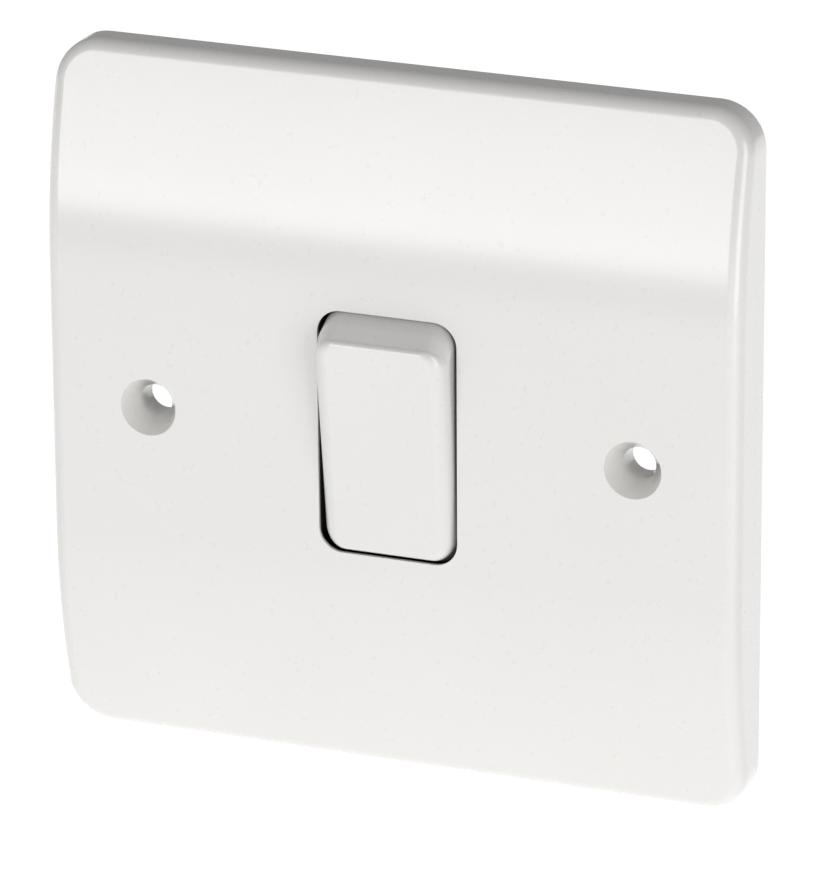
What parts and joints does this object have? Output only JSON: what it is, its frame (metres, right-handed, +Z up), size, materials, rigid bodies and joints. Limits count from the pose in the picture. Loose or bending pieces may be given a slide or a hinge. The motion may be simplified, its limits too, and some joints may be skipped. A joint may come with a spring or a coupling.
{
  "type": "rocker wall switch",
  "caption": "Square bowed wall plate with a tilting rocker, a seesaw change-over contact, screw terminals and two countersunk fixing holes.",
  "frame": {"origin": "centre of the plate's back rim, on the wall plane", "axes": "+X right and +Z up as seen from the front, the pressed face points along -Y and the wiring side along +Y"},
  "size_m": [0.086, 0.0278, 0.086],
  "materials": {
    "plate_plastic": "gloss white moulding",
    "rocker_plastic": "gloss white moulding",
    "nylon": "natural nylon",
    "spring_steel": "drawn spring wire",
    "brass_strip": "rolled strip, slightly dull",
    "contact_silver": "silver contact alloy, satin",
    "terminal_brass": "drawn brass",
    "screw_brass": "turned brass",
    "base_plastic": "satin moulding",
    "screw_steel": "zinc plated"
  },
  "bodies": {
    "housing": {"faceplate": "plate_plastic", "common_fulcrum": "brass_strip", "contact_strip_l1": "brass_strip", "contact_strip_l2": "brass_strip", "fixed_tip_l1": "contact_silver", "fixed_tip_l2": "contact_silver", "terminal_common": "terminal_brass", "terminal_l1": "terminal_brass", "terminal_l2": "terminal_brass", "base_housing": "base_plastic", "base_screws": "screw_steel"},
    "rocker": {"rocker": "rocker_plastic", "plunger_spring": "spring_steel"},
    "plunger": {"plunger": "nylon"},
    "seesaw": {"seesaw_blade": "brass_strip", "moving_tip_l1": "contact_silver", "moving_tip_l2": "contact_silver"},
    "screw_common": {"screw_common": "screw_brass"},
    "screw_l1": {"screw_l1": "screw_brass"},
    "screw_l2": {"screw_l2": "screw_brass"}
  },
  "joints": [
    {"name": "rocker_tilt", "type": "hinge", "parent": "housing", "child": "rocker", "pos_m": [0, -0.0013, 0], "axis": [-1, 0, 0], "range_deg": [0, 14.6]},
    {"name": "seesaw_tilt", "type": "hinge", "parent": "housing", "child": "seesaw", "pos_m": [0, 0.0076, 0], "axis": [1, 0, 0], "range_deg": [0, 14.6]},
    {"name": "plunger_slide", "type": "slide", "parent": "rocker", "child": "plunger", "axis": [0, -0.9919, -0.1271], "range_m": [0, 0.0012], "stiffness_N_per_m": 400, "deforming": ["plunger_spring"]},
    {"name": "screw_common_travel", "type": "slide", "parent": "housing", "child": "screw_common", "axis": [0, -1, 0], "range_m": [0, 0.0026]},
    {"name": "screw_l1_travel", "type": "slide", "parent": "housing", "child": "screw_l1", "axis": [0, -1, 0], "range_m": [0, 0.0026]},
    {"name": "screw_l2_travel", "type": "slide", "parent": "housing", "child": "screw_l2", "axis": [0, -1, 0], "range_m": [0, 0.0026]}
  ],
  "couplings": [
    {"joint": "seesaw_tilt", "follows": "rocker_tilt", "ratio": 1}
  ]
}
